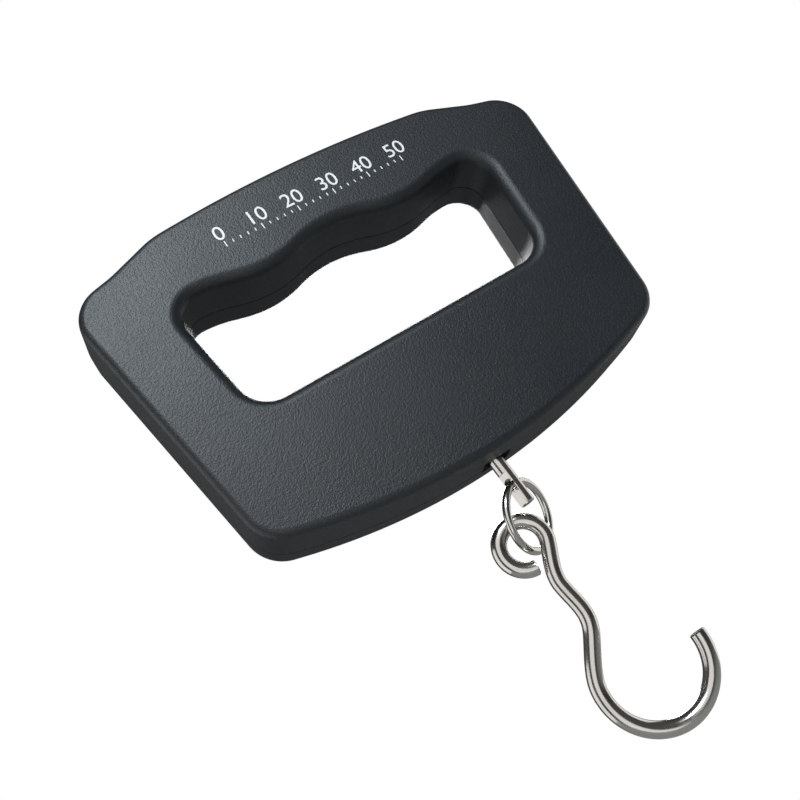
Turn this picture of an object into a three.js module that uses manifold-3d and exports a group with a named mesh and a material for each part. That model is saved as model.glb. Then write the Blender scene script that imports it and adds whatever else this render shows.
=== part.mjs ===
// Digital luggage scale: a flat grip-shaped casing with a hand hole, and a ring and hook hanging from its
// load cell. Units are millimetres. +X is to the right of the plain face, +Y runs from the plain face to the
// display side, +Z is up. The origin is on the underside of the grip, where the middle fingers carry the
// scale, half way through the casing.
import * as THREE from 'three';
import { mergeVertices } from 'three/addons/utils/BufferGeometryUtils.js';
import Module from 'manifold-3d';

const wasm = await Module();
wasm.setup();

const radians = THREE.MathUtils.degToRad;

// ---------------------------------------------------------------- driving sizes

const clearance = 0.3; // between pieces that touch or seat on each other
const cutOver = 1; // how far a cutting tool runs past the face it cuts
const outlineSag = 0.1; // how far a chord may stray from its arc on the casing's outlines
const roundSag = 0.04; // and on turned pieces and wires
const fewestSides = 12;
const hair = 0.01; // keeps two places that nearly coincide apart

// casing, seen from the plain face
const bodyWidth = 142.4; // across the shoulders at the parting line, to the sharp corners
const bodyDepth = 23;
const frontDepth = 13; // the plain cover is the deeper of the two
const gripHeight = 23.1; // crown of the arch down to the middle of the hand hole's top edge
const holeHeight = 35.2;
const bayHeight = 39.8; // hand hole down to the lowest point of the bottom edge
const sideTaper = radians(7.9);
const wall = 2.2;
const outerFillet = 2.2;
const rimFillet = 3.1;
const draft = 0.5; // how much each face is smaller all round than the parting line
const filletSteps = 3;
const lip = { thickness: 0.9, reach: 1.2, root: 2 }; // the plain cover's tongue inside the other's wall

// arch over the grip, its shoulders and the bottom edge
const archRadius = 358;
const archHalfSpan = 36.9;
const shoulderBreak = { x: 42.8, slope: -0.385, radius: 25 };
const shoulderFoot = { x: 56.4, slope: -0.26, radius: 30 };
const shoulderCornerRadius = 11;
const bottomRadius = 182;
const bottomHalfSpan = 52;
const bottomCornerRadius = 11;

// hand hole: finger scallops above, a straight edge below
const holeTopWidth = 96.2;
const holeTaper = radians(7.4);
const scallopRadius = 31.5;
const scallopDepth = 3.6;
const scallopHalfPitch = 20.5;
const endScallop = { rise: 3, fromCorner: 11, slope: -0.03 }; // the slope is that towards the corner
const holeTopCornerRadius = 6.5;
const holeBottomCornerRadius = 8;

// load path: cell, hanger, ring and hook
const cell = { length: 62, height: 12, depth: 7.2, screwX: 26, windowX: 13, windowRadius: 3.4 };
const cellToBoard = 0.7;
const cellDrop = 10.6; // hand hole's lower edge down to the top of the load cell
const hangerRadius = 2;
const hangerTurn = radians(27); // how far the hanger's cross hole is turned from the casing's width
const hangerFlat = { thickness: 2.6, length: 9.4 };
const hangerChamfer = { end: 0.3, top: 0.5 };
const hangerAboveNut = 1;
const hangerReach = 13.1; // below the casing's bottom edge
const crossHole = { radius: 1.65, fromEnd: 6.2 };
const stemSlotMargin = { x: 2.1, y: 0.9 }; // from the hanger to the slot's sides
const washer = { radius: 3.8, thickness: 1 };
const nut = { acrossFlats: 7, height: 3.2 };
const ring = { radius: 8.9, wire: 1 };
const ringTurn = radians(36); // the ring sits askew in its hole
const ringTilt = radians(20.3);
const ringLean = radians(-8.5);
const hook = { wire: 2, turn: radians(-10), eyeRadius: 5.95, bendRadius: 13.5, bendX: 7, bendDrop: 39.2 };
const hookEye = { start: radians(-94), end: radians(-385) };
const hookBend = { start: radians(168), end: radians(361) };
const hookShank = { waistX: 1.5, waistDrop: 12.6, elbowX: 0.5, elbowDrop: 25.3 };
const hookReach = { eye: 3.4, waist: 5, elbow: 3.8 }; // how far the wire keeps its direction past each place
const hookFromCrossHole = new THREE.Vector3(-7.2, 1.1, -13.7); // centre of the hook's eye

// load cell's gauges and ribbon
const gauge = { length: 6, width: 3.4, thickness: 0.3 };
const ribbon = { width: 4, thickness: 0.5, overlap: 1, rise: 3.2 };

// electronics bay, seen through the display side
const displayDrop = 17.2; // hand hole's lower edge down to the middle of the display
const board = { width: 96, height: 23, thickness: 1, corner: 1.5, inset: 6.2 }; // inset from the outer face
const display = { x: 3, width: 46, height: 21, glass: 1.7, light: 1, corner: 0.5 };
const lightGuide = { width: 45, height: 17, corner: 0.8 };
const strip = { length: 42, height: 1.5, fromTop: 0.2 };
const dome = { x: 36, rise: 3, radius: 3.4, height: 1.1 }; // rise above the display's middle
const lens = { width: 50, height: 23.4, thickness: 1.1, corner: 2.4, lip: 2.2, recess: 0.2 };
const button = { x: 42.5, width: 11, height: 4.8, pitch: 7.6, proud: 0.5, flange: 0.8, flangeDepth: 0.8 };
const buttonEdge = { first: 0.15, second: 0.5 }; // how far the cap's edge is rounded, in two steps
const flangeCorner = 1.2;
const tactSwitch = { side: 4.4, height: 1.2, knob: 0.9, knobRadius: 1.2 };
const battery = { x: -39, radius: 10, thickness: 3.2, lidInset: 1.4, lidRise: 0.3, edge: 0.3 };
const leaf = { width: 10, height: 5, thickness: 0.4, corner: 1.2 }; // the contact under the cell
const standing = { width: 6, height: 2.1, thickness: 0.5, foot: 1.7 }; // the contact at the cell's rim
const door = { radius: 11.4, thickness: 1.5, rim: 1, recess: 0.2 };
const doorTurn = radians(55); // from locked to where the lugs meet their gates
const doorLug = { reach: 1.2, angle: radians(26), depth: 0.9 };
const coinSlot = { length: 14, width: 1.6, depth: 0.9 };
const pocketWall = 1;
const pocketLip = 0.05; // how far the pocket's roof stands above the wall's inner face
const boardPost = { radius: 2.1, reachX: 26.4, reachZ: 9.2 };

// fasteners
const caseScrew = { head: 2.7, headHeight: 1.8, shank: 1.4, length: 13 };
const boardScrew = { head: 1.8, headHeight: 1.1, shank: 0.9, length: 4.4 };
const cellScrew = { head: 2.6, headHeight: 1.6, shank: 1.4, length: 8.5 };
const screwTip = 1;
const screwTipGap = 0.5;
const screwHead = { crown: 0.7, shoulder: 0.45 }; // shares of the head's own radius and height
const recess = { reach: 0.55, depth: 0.4, halfWidth: 0.3 }; // a cross; reach and depth are shares of the head
const caseBossRadius = 3;
const cellBossRadius = 4;
const well = { radius: 3.1, depth: 5.4, wall: 1.1 };
const gripScrew = { x: 33, drop: 2.6 }; // below the middle of the grip
const sideScrewInset = 14.6; // from the casing's side
const lowerScrew = { inset: 16.6, rise: 8 }; // from the casing's side, and above its lower edge

// ---------------------------------------------------------------- derived places

const face = -bodyDepth / 2; // plain side
const back = bodyDepth / 2; // display side
const parting = face + frontDepth;
const crown = gripHeight;
const holeBottom = -holeHeight;
const lowest = holeBottom - bayHeight;
const cellTop = holeBottom - cellDrop;
const cellMiddle = cellTop - cell.height / 2;
const displayZ = holeBottom - displayDrop;
const innerBack = back - wall;
const boardBack = back - board.inset;
const boardFront = boardBack - board.thickness;
const hangerY = boardFront - cellToBoard - cell.depth / 2; // the load cell and all that hangs from it
const crossHoleZ = lowest - hangerReach + crossHole.fromEnd;
const caseScrewSeat = back - well.depth + clearance;
const cellScrewSeat = hangerY + cell.depth / 2 - cellScrew.headHeight;
const boardScrewSeat = boardFront - clearance;
const boardTop = boardBack + clearance; // what lies on the board's display side
const glassFront = boardTop + display.light + clearance;
const seam = parting - clearance / 2;
const washerBottom = cellTop + clearance;
const nutBottom = washerBottom + washer.thickness + clearance;
const stemTop = nutBottom + nut.height + hangerAboveNut;
const stemEnd = lowest - hangerReach;

// ---------------------------------------------------------------- solids

const finishes = {
  casing: { color: 0x2f3235, roughness: 0.62, metalness: 0 },
  button: { color: 0x8d9296, roughness: 0.5, metalness: 0 },
  lens: { color: 0x10151a, roughness: 0.08, metalness: 0 },
  steel: { color: 0xc8c9c7, roughness: 0.16, metalness: 1 },
  zinc: { color: 0xa8abac, roughness: 0.35, metalness: 1 },
  aluminium: { color: 0xb9bcbf, roughness: 0.4, metalness: 1 },
  board: { color: 0x1d5b37, roughness: 0.5, metalness: 0 },
  glass: { color: 0x8f9a86, roughness: 0.2, metalness: 0 },
  resin: { color: 0x15161a, roughness: 0.45, metalness: 0 },
  foil: { color: 0xb06a2c, roughness: 0.4, metalness: 0.4 },
  rubber: { color: 0xd08a9a, roughness: 0.8, metalness: 0 },
  clear: { color: 0xe8eef0, roughness: 0.25, metalness: 0 },
};

const object = new THREE.Group();
object.name = 'digital_luggage_scale';

function solid(geometry) {
  const bare = geometry.index ? geometry.toNonIndexed() : geometry.clone();
  const positions = new THREE.BufferGeometry().setAttribute('position', bare.getAttribute('position'));
  const merged = mergeVertices(positions, 1e-4);
  return new wasm.Manifold(new wasm.Mesh({
    numProp: 3,
    vertProperties: merged.attributes.position.array,
    triVerts: new Uint32Array(merged.index.array),
  }));
}

function geometryOf(manifold) {
  const mesh = manifold.getMesh();
  const geometry = new THREE.BufferGeometry();
  geometry.setAttribute('position', new THREE.BufferAttribute(mesh.vertProperties, 3));
  geometry.setIndex(new THREE.BufferAttribute(mesh.triVerts, 1));
  geometry.computeVertexNormals();
  return geometry;
}

function join(first, ...others) {
  return others.reduce((sum, other) => sum.add(other), first);
}

function cut(first, ...others) {
  return others.reduce((rest, other) => rest.subtract(other), first);
}

function add(name, finish, manifold) {
  const mesh = new THREE.Mesh(geometryOf(manifold), new THREE.MeshStandardMaterial(finishes[finish]));
  mesh.name = name;
  object.add(mesh);
}

// A block between two corners.
function block(x0, x1, y0, y1, z0, z1) {
  const geometry = new THREE.BoxGeometry(x1 - x0, y1 - y0, z1 - z0);
  geometry.translate((x0 + x1) / 2, (y0 + y1) / 2, (z0 + z1) / 2);
  return solid(geometry);
}

// How many straight steps an arc needs so that no chord strays further than the sag.
function arcSteps(radius, angle, sag) {
  return Math.ceil(angle / (2 * Math.acos(1 - sag / radius)));
}

function sidesOf(radius) {
  return Math.max(fewestSides, arcSteps(radius, 2 * Math.PI, roundSag));
}

// A turned piece about an axis along +Y through (x, z). The profile is [radius, y] pairs from axis to axis,
// rising in y.
function turnedY(x, z, profile) {
  const points = profile.map(([radius, y]) => new THREE.Vector2(radius, y));
  const widest = Math.max(...points.map((point) => point.x));
  const geometry = new THREE.LatheGeometry(points, sidesOf(widest));
  geometry.translate(x, 0, z);
  return solid(geometry);
}

function rodY(x, z, radius, y0, y1) {
  return turnedY(x, z, [[0, y0], [radius, y0], [radius, y1], [0, y1]]);
}

// A rod along Z through the middle, with as many sides as its radius needs unless a count is given.
function rodZ(radius, z0, z1, sides = sidesOf(radius)) {
  const geometry = new THREE.CylinderGeometry(radius, radius, z1 - z0, sides);
  geometry.rotateX(Math.PI / 2);
  geometry.translate(0, 0, (z0 + z1) / 2);
  return solid(geometry);
}

function rectangleOutline(x, z, width, height, corner) {
  const [halfX, halfZ] = [width / 2, height / 2];
  return roundedOutline([
    { x: x - halfX, z: z - halfZ, radius: corner },
    { x: x + halfX, z: z - halfZ, radius: corner },
    { x: x + halfX, z: z + halfZ, radius: corner },
    { x: x - halfX, z: z + halfZ, radius: corner },
  ]);
}

// A flat plate in the XZ plane with round corners, between two depths.
function plate(x, z, width, height, corner, y0, y1) {
  const points = rectangleOutline(x, z, width, height, corner)(0);
  return loft([{ points, y: y0 }, { points, y: y1 }]);
}

// ---------------------------------------------------------------- outlines

// Sharp corners with a radius each, anticlockwise. The result gives the outline's points, grown outwards by
// an offset.
function roundedOutline(corners) {
  const arcs = corners.map((corner, i) => {
    const before = corners[(i + corners.length - 1) % corners.length];
    const after = corners[(i + 1) % corners.length];
    const here = new THREE.Vector2(corner.x, corner.z);
    const incoming = new THREE.Vector2(before.x, before.z).sub(here).normalize();
    const outgoing = new THREE.Vector2(after.x, after.z).sub(here).normalize();
    const convex = incoming.cross(outgoing) < 0;
    const half = incoming.angleTo(outgoing) / 2;
    const bisector = incoming.clone().add(outgoing).normalize();
    const centre = here.clone().addScaledVector(bisector, corner.radius / Math.sin(half));
    const middle = Math.atan2(-bisector.y, -bisector.x);
    const spread = Math.PI / 2 - half;
    const direction = convex ? 1 : -1;
    const count = Math.max(2, arcSteps(corner.radius, 2 * spread, outlineSag));
    return { centre, radius: corner.radius, middle, spread, direction, count };
  });
  return (offset) => arcs.flatMap(({ centre, radius, middle, spread, direction, count }) =>
    Array.from({ length: count + 1 }, (_, k) => {
      const angle = middle + direction * spread * (2 * k / count - 1);
      const reach = radius + direction * offset;
      return new THREE.Vector2(centre.x + reach * Math.cos(angle), centre.y + reach * Math.sin(angle));
    }));
}

// A closed solid through outlines that have the same number of points, one at each depth, rising in y. The
// ends are closed with fans, so every point of an outline has to be in sight of its middle.
function loft(levels) {
  const count = levels[0].points.length;
  const positions = levels.flatMap(({ points, y }) => points.flatMap((p) => [p.x, y, p.y]));
  const ends = [levels[0], levels.at(-1)].map(({ points, y }) => {
    const middle = new THREE.Box2().setFromPoints(points).getCenter(new THREE.Vector2());
    return positions.push(middle.x, y, middle.y) / 3 - 1;
  });
  const last = (levels.length - 1) * count;
  const faces = [];
  for (let i = 0; i < count; i += 1) {
    const next = (i + 1) % count;
    faces.push(ends[0], i, next, ends[1], last + next, last + i);
    for (let level = 0; level < last; level += count) {
      const above = level + count;
      faces.push(level + i, above + i, level + next, level + next, above + i, above + next);
    }
  }
  const geometry = new THREE.BufferGeometry();
  geometry.setAttribute('position', new THREE.Float32BufferAttribute(positions, 3));
  geometry.setIndex(faces);
  return solid(geometry);
}

function mirrored(corners) {
  const right = corners.filter((corner) => corner.x > 0);
  const left = right.map((corner) => ({ ...corner, x: -corner.x })).reverse();
  const [bottom, top] = [corners[0], corners.at(-1)];
  return [bottom, ...right, top, ...left];
}

// The sharp corner above an arc that is level at its middle.
function apexRise(radius, halfSpan) {
  return radius * (1 / Math.cos(Math.asin(halfSpan / radius)) - 1);
}

function casingCorners() {
  const bottomApex = lowest - apexRise(bottomRadius, bottomHalfSpan);
  const bottomSlope = Math.tan(Math.asin(bottomHalfSpan / bottomRadius));
  const archApex = crown + apexRise(archRadius, archHalfSpan);
  const archSlope = Math.tan(Math.asin(archHalfSpan / archRadius));
  const breakZ = archApex - archSlope * shoulderBreak.x;
  const footZ = breakZ + shoulderBreak.slope * (shoulderFoot.x - shoulderBreak.x);
  const shoulderX = bodyWidth / 2;
  const shoulderZ = footZ + shoulderFoot.slope * (shoulderX - shoulderFoot.x);
  const taper = Math.tan(sideTaper);
  const cornerX = (shoulderX - taper * (shoulderZ - bottomApex)) / (1 - taper * bottomSlope);
  return mirrored([
    { x: 0, z: bottomApex, radius: bottomRadius },
    { x: cornerX, z: bottomApex + bottomSlope * cornerX, radius: bottomCornerRadius },
    { x: shoulderX, z: shoulderZ, radius: shoulderCornerRadius },
    { x: shoulderFoot.x, z: footZ, radius: shoulderFoot.radius },
    { x: shoulderBreak.x, z: breakZ, radius: shoulderBreak.radius },
    { x: 0, z: archApex, radius: archRadius },
  ]);
}

function holeCorners() {
  const scallopSlope = Math.tan(Math.asin(scallopHalfPitch / 2 / scallopRadius));
  const ridgeZ = apexRise(scallopRadius, scallopHalfPitch / 2) - scallopSlope * scallopHalfPitch;
  const topX = holeTopWidth / 2;
  const endX = topX - endScallop.fromCorner;
  const endZ = endScallop.rise - scallopDepth;
  const topZ = endZ + endScallop.slope * endScallop.fromCorner;
  const bottomX = topX - Math.tan(holeTaper) * (topZ - holeBottom);
  return [
    { x: bottomX, z: holeBottom, radius: holeBottomCornerRadius },
    { x: topX, z: topZ, radius: holeTopCornerRadius },
    { x: endX, z: endZ, radius: scallopRadius },
    { x: scallopHalfPitch, z: ridgeZ, radius: scallopRadius },
    { x: 0, z: apexRise(scallopRadius, scallopHalfPitch / 2), radius: scallopRadius },
    { x: -scallopHalfPitch, z: ridgeZ, radius: scallopRadius },
    { x: -endX, z: endZ, radius: scallopRadius },
    { x: -topX, z: topZ, radius: holeTopCornerRadius },
    { x: -bottomX, z: holeBottom, radius: holeBottomCornerRadius },
  ];
}

const casingOutline = roundedOutline(casingCorners());
const holeOutline = roundedOutline(holeCorners());

// ---------------------------------------------------------------- covers

// Down a rounded edge: how deep below the face, and how much of the fillet is still missing at the side.
function filletLevels(radius) {
  return Array.from({ length: filletSteps + 1 }, (_, k) => {
    const angle = (Math.PI / 2) * (k / filletSteps);
    return [radius * (1 - Math.cos(angle)), radius * (1 - Math.sin(angle))];
  });
}

// One half of the casing as a shell: its face is at faceY and its rim at rimY. The wall is even all round.
function coverShell(faceY, rimY) {
  const inward = Math.sign(rimY - faceY);
  const height = Math.abs(rimY - faceY);
  const shrink = (depth) => draft * (1 - depth / height);
  // Levels are [depth below the face, how far the outline is grown there].
  const through = (outline, levels) => loft(levels
    .map(([depth, grown]) => ({ y: faceY + inward * depth, points: outline(grown) }))
    .sort((a, b) => a.y - b.y));
  const outer = through(casingOutline, [
    ...filletLevels(outerFillet).map(([depth, inset]) => [depth, -inset - shrink(depth)]),
    [height, 0],
  ]);
  const hole = through(holeOutline, [
    [-cutOver, rimFillet + draft],
    ...filletLevels(rimFillet).map(([depth, inset]) => [depth, inset + shrink(depth)]),
    [height + cutOver, 0],
  ]);
  const room = through(casingOutline, [[wall, -wall - draft], [height + cutOver, -wall - draft]]);
  const holeWall = through(holeOutline, [
    [0, wall + draft + rimFillet],
    [wall, wall + draft + rimFillet],
    [wall + rimFillet / 2, wall + draft],
    [height + 2 * cutOver, wall + draft],
  ]);
  return cut(outer, cut(room, holeWall), hole);
}

// Height of the casing's lower edge at a distance from the middle.
function bottomEdge(x) {
  return lowest + bottomRadius - Math.sqrt(bottomRadius ** 2 - x ** 2);
}

const lowerScrewX = bodyWidth / 2 - lowerScrew.inset;
const caseScrewPlaces = [-1, 1].flatMap((side) => [
  { x: side * gripScrew.x, z: gripHeight / 2 - gripScrew.drop },
  { x: side * (bodyWidth / 2 - sideScrewInset), z: holeBottom / 2 },
  { x: side * lowerScrewX, z: bottomEdge(lowerScrewX) + lowerScrew.rise },
]);
const boardScrewPlaces = [-1, 1].flatMap((side) => [-1, 1].map((level) => (
  { x: display.x + side * boardPost.reachX, z: displayZ + level * boardPost.reachZ }
)));
const cellScrewPlaces = [-1, 1].map((side) => ({ x: side * cell.screwX, z: cellMiddle }));
const buttonPlaces = [1, 0, -1].map((row) => ({ x: button.x, z: displayZ + row * button.pitch }));
const slotHalfX = hangerRadius + stemSlotMargin.x;
const slotHalfY = hangerRadius + stemSlotMargin.y;
const stemSlotCut = block(-slotHalfX, slotHalfX, hangerY - slotHalfY, hangerY + slotHalfY,
  lowest - cutOver, lowest + wall + lip.thickness + 2 * cutOver);

// Rods of one radius at each place, between two depths.
function rodsAt(places, radius, y0, y1) {
  return places.map(({ x, z }) => rodY(x, z, radius, y0, y1));
}

// The tongue that closes the parting gap from inside: a rim along a wall, rooted in the plain cover. Its side
// towards the wall sinks into the plain cover below the seam and steps clear of the other cover above it.
function tongue(outline, inward) {
  const bottom = seam - lip.root;
  const top = parting + lip.reach;
  const inside = wall + draft;
  const at = ([y, gap]) => ({ y, points: outline(inward * (inside + gap)) });
  const through = (levels) => loft(levels.map(at));
  const wallSide = (low, high) => through([
    [low, -clearance], [seam, -clearance], [seam + hair, clearance], [high, clearance],
  ]);
  const away = clearance + lip.thickness;
  const roomSide = (low, high) => through([[low, away], [high, away]]);
  return inward < 0
    ? cut(wallSide(bottom, top), roomSide(bottom - cutOver, top + cutOver))
    : cut(roomSide(bottom, top), wallSide(bottom - cutOver, top + cutOver));
}

function frontCover() {
  const floor = face + wall / 2; // bosses are rooted half way into the wall
  const bosses = rodsAt(caseScrewPlaces, caseBossRadius, floor, back - well.depth - wall - clearance);
  const cellBosses = rodsAt(cellScrewPlaces, cellBossRadius, floor, hangerY - cell.depth / 2 - clearance);
  const pilots = rodsAt(caseScrewPlaces, caseScrew.shank + clearance,
    caseScrewSeat - caseScrew.length - screwTipGap, back);
  const cellPilots = rodsAt(cellScrewPlaces, cellScrew.shank + clearance,
    cellScrewSeat - cellScrew.length - screwTipGap, hangerY);
  const tongues = [tongue(casingOutline, -1), tongue(holeOutline, 1)];
  const body = join(coverShell(face, seam), ...tongues, ...bosses, ...cellBosses);
  return cut(body, ...pilots, ...cellPilots, stemSlotCut);
}

// What the battery door needs in the rear cover: a round opening with a gate for each lug, over a pocket.
const pocketRadius = door.radius + doorLug.reach + clearance;

function doorOpenings() {
  const gates = [0, Math.PI].map((side) => lugSolid(side - doorTurn, clearance, face, back + cutOver));
  return [
    rodY(battery.x, displayZ, pocketRadius, face, innerBack - pocketLip),
    rodY(battery.x, displayZ, door.radius + clearance, face, back + cutOver),
    ...gates,
  ];
}

// The lens's seat and the window behind it.
function displayOpenings() {
  const seatFront = back - lens.recess - lens.thickness - clearance;
  const opening = (margin, corner, y0, y1) => plate(display.x, displayZ, lens.width + 2 * margin,
    lens.height + 2 * margin, corner, y0, y1);
  return [
    opening(clearance, lens.corner + clearance, seatFront, back + cutOver),
    opening(-lens.lip, lens.corner / 2, face, back),
  ];
}

function rearCover() {
  const ceiling = back - wall / 2; // bosses are rooted half way into the wall
  const bosses = rodsAt(caseScrewPlaces, well.radius + well.wall, back - well.depth - wall, ceiling);
  const posts = rodsAt(boardScrewPlaces, boardPost.radius, boardTop, ceiling);
  const pocket = rodY(battery.x, displayZ, pocketRadius + pocketWall, boardTop, ceiling);
  const wells = rodsAt(caseScrewPlaces, well.radius, back - well.depth, back + cutOver);
  const shanks = rodsAt(caseScrewPlaces, caseScrew.shank + clearance, face, back);
  const postHoles = rodsAt(boardScrewPlaces, boardScrew.shank + clearance, face,
    boardScrewSeat + boardScrew.length + screwTipGap);
  const buttonHoles = buttonPlaces.map((place) => {
    const points = pill(place, clearance)(0);
    return loft([{ points, y: face }, { points, y: back + cutOver }]);
  });
  const body = join(coverShell(back, seam + clearance), ...bosses, ...posts, pocket);
  const screwRoom = [...wells, ...shanks, ...postHoles];
  return cut(body, ...screwRoom, ...doorOpenings(), ...displayOpenings(), ...buttonHoles, stemSlotCut);
}

// ---------------------------------------------------------------- battery door

// A lug on the door's edge, or with a margin the gap that lets it in. Angle 0 points to +X.
function lugSolid(angle, margin, y0, y1) {
  const inner = door.radius - door.rim / 2;
  const outer = door.radius + doorLug.reach + margin / 2;
  const half = doorLug.angle / 2 + margin / door.radius;
  const around = (radius, from, to) => arcPath(battery.x, displayZ, radius, angle + from, angle + to);
  const points = [...around(outer, -half, half), ...around(inner, half, -half)];
  return loft([{ points, y: y0 }, { points, y: y1 }]);
}

function batteryDoor() {
  const top = back - door.recess;
  const lugTop = innerBack - clearance;
  const disc = rodY(battery.x, displayZ, door.radius, top - door.thickness, top);
  const skirt = rodY(battery.x, displayZ, door.radius, lugTop - doorLug.depth, top - door.thickness / 2);
  const skirtRoom = rodY(battery.x, displayZ, door.radius - door.rim, face, top - door.thickness);
  const lugs = [0, Math.PI].map((side) => lugSolid(side, 0, lugTop - doorLug.depth, lugTop));
  const slot = block(battery.x - coinSlot.length / 2, battery.x + coinSlot.length / 2, top - coinSlot.depth,
    back + cutOver, displayZ - coinSlot.width / 2, displayZ + coinSlot.width / 2);
  return cut(join(disc, cut(skirt, skirtRoom), ...lugs), slot);
}

// ---------------------------------------------------------------- load cell and its trim

function loadCell() {
  const beam = block(-cell.length / 2, cell.length / 2, -cell.depth / 2, cell.depth / 2,
    cellMiddle - cell.height / 2, cellTop);
  const windowPlaces = [-1, 1].map((side) => ({ x: side * cell.windowX, z: cellMiddle }));
  const windows = rodsAt(windowPlaces, cell.windowRadius, -cell.depth, cell.depth);
  const screwHoles = rodsAt(cellScrewPlaces, cellScrew.shank + clearance, -cell.depth, cell.depth);
  const counterbores = rodsAt(cellScrewPlaces, cellScrew.head + clearance,
    cell.depth / 2 - cellScrew.headHeight - clearance, cell.depth);
  const bore = rodZ(hangerRadius + clearance, cellMiddle - cell.height, cellTop + cutOver);
  return cut(beam, ...windows, ...screwHoles, ...counterbores, bore).translate([0, hangerY, 0]);
}

function strainGauge(side, level) {
  const surface = cellMiddle + level * (cell.height / 2 + clearance);
  const outer = surface + level * gauge.thickness;
  return block(side * cell.windowX - gauge.length / 2, side * cell.windowX + gauge.length / 2,
    hangerY - gauge.width / 2, hangerY + gauge.width / 2, Math.min(surface, outer), Math.max(surface, outer));
}

// Four-core ribbon from the upper gauge over the beam's edge to the board.
function cellRibbon() {
  const lift = cellTop + clearance + gauge.thickness + clearance;
  const end = boardFront - clearance;
  const left = -cell.windowX - ribbon.width / 2;
  const right = left + ribbon.width;
  return join(
    block(left, right, hangerY - ribbon.overlap, end, lift, lift + ribbon.thickness),
    block(left, right, end - ribbon.thickness, end, lift, lift + ribbon.rise),
  );
}

// ---------------------------------------------------------------- board, display and switches

function circuitBoard() {
  const panel = plate(0, displayZ, board.width, board.height, board.corner, boardFront, boardBack);
  return cut(panel, ...rodsAt(boardScrewPlaces, boardScrew.shank + clearance, face, back));
}

// A drop of resin over the chip, on the board's plain side: its outline is a half ellipse.
function controllerDome() {
  const top = boardFront - clearance;
  const steps = 4;
  const profile = Array.from({ length: steps + 1 }, (_, k) => {
    const angle = (Math.PI / 2) * (k / steps);
    return [dome.radius * Math.sin(angle), top - dome.height * Math.cos(angle)];
  });
  return turnedY(dome.x, displayZ + dome.rise, [...profile, [0, top]]);
}

function lightGuideSolid() {
  return plate(display.x, displayZ, lightGuide.width, lightGuide.height, lightGuide.corner,
    boardTop, boardTop + display.light);
}

function displayStrip() {
  const top = displayZ + display.height / 2 - strip.fromTop;
  return block(display.x - strip.length / 2, display.x + strip.length / 2, boardTop, glassFront - clearance,
    top - strip.height, top);
}

function displayGlass() {
  return plate(display.x, displayZ, display.width, display.height, display.corner,
    glassFront, glassFront + display.glass);
}

function displayLens() {
  const top = back - lens.recess;
  return plate(display.x, displayZ, lens.width, lens.height, lens.corner, top - lens.thickness, top);
}

function tactSwitchSolid({ x, z }) {
  const half = tactSwitch.side / 2;
  const top = boardTop + tactSwitch.height;
  return join(block(x - half, x + half, boardTop, top, z - half, z + half),
    rodY(x, z, tactSwitch.knobRadius, boardTop + tactSwitch.height / 2, top + tactSwitch.knob));
}

// The outline of a button, which has half-round ends, or with a margin the hole round it.
function pill({ x, z }, margin) {
  const width = button.width + 2 * margin;
  const height = button.height + 2 * margin;
  return rectangleOutline(x, z, width, height, height / 2 - hair);
}

function buttonSolid(place) {
  const flangeTop = innerBack - clearance;
  const capTop = back + button.proud;
  const cap = pill(place, 0);
  const body = loft([
    { points: cap(0), y: flangeTop - button.flangeDepth / 2 },
    { points: cap(0), y: capTop - buttonEdge.second },
    { points: cap(-buttonEdge.first), y: capTop - buttonEdge.first },
    { points: cap(-buttonEdge.second), y: capTop },
  ]);
  const flange = plate(place.x, place.z, button.width + 2 * button.flange, button.height + 2 * button.flange,
    flangeCorner, flangeTop - button.flangeDepth, flangeTop);
  return join(body, flange);
}

// ---------------------------------------------------------------- battery and contacts

function coinCell() {
  const { radius, lidInset, lidRise, edge } = battery;
  const bottom = boardTop + leaf.thickness + clearance;
  const top = bottom + battery.thickness;
  return turnedY(battery.x, displayZ, [
    [0, bottom], [radius - lidInset, bottom], [radius - lidInset, bottom + lidRise],
    [radius, bottom + lidRise + edge], [radius, top - edge], [radius - edge, top], [0, top],
  ]);
}

function negativeContact() {
  const top = boardTop + leaf.thickness;
  return plate(battery.x, displayZ, leaf.width, leaf.height, leaf.corner, boardTop, top);
}

function positiveContact() {
  const edge = battery.x + battery.radius + clearance;
  const [low, high] = [displayZ - standing.width / 2, displayZ + standing.width / 2];
  return join(block(edge, edge + standing.thickness, boardTop, boardTop + standing.height, low, high),
    block(edge, edge + standing.foot, boardTop, boardTop + leaf.thickness, low, high));
}

// ---------------------------------------------------------------- fasteners

// A pan-head screw with a cross recess. The head's underside is at seatY, and the shank runs along -Y, or
// along +Y where pointing is -1.
function screw({ x, z }, { head, headHeight, shank, length }, seatY, pointing) {
  const y = (depth) => seatY - pointing * depth;
  const profile = [
    [0, -headHeight], [head * screwHead.crown, -headHeight], [head, -headHeight * screwHead.shoulder],
    [head, 0], [shank, 0], [shank, length - screwTip], [0, length],
  ].map(([radius, depth]) => [radius, y(depth)]);
  const body = turnedY(x, z, pointing > 0 ? profile.reverse() : profile);
  const [low, high] = [y(-headHeight * recess.depth), y(-headHeight - cutOver)].sort((a, b) => a - b);
  const arm = head * recess.reach;
  const slot = recess.halfWidth;
  return cut(body, block(x - arm, x + arm, low, high, z - slot, z + slot),
    block(x - slot, x + slot, low, high, z - arm, z + arm));
}

// ---------------------------------------------------------------- hanger, ring and hook

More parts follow.
